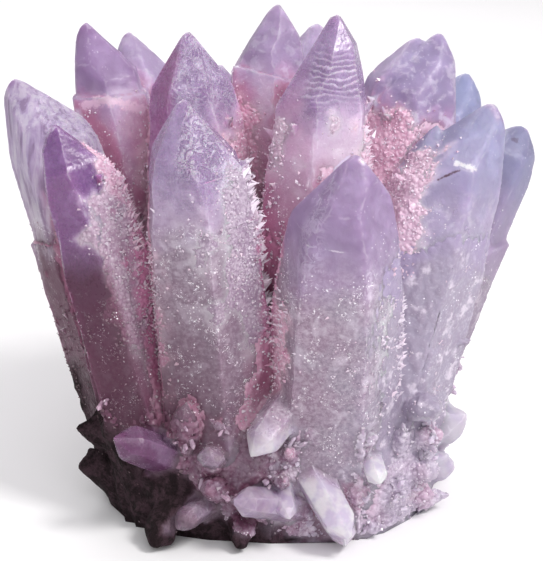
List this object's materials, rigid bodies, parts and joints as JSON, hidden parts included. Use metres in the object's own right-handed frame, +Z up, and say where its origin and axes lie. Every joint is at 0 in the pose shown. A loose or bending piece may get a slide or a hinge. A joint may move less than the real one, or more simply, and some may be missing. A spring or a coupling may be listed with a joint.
{
  "type": "amethyst crystal cluster",
  "caption": "Fan of pink and violet quartz points grown from one rough foot, crusted with druse and cut flat underneath to stand upright.",
  "frame": {"origin": "middle of the cluster's box, on the flat cut that it stands on", "axes": "+Z up along the points, +X to the right across the widest side, -Y towards the viewer"},
  "size_m": [0.0778, 0.0614, 0.0728],
  "materials": {
    "amethyst": "frosted, milky crystal with clearer violet tips and a sparkling pink and white druse"
  },
  "bodies": {
    "root": {"crystal_cluster": "amethyst"}
  },
  "joints": []
}
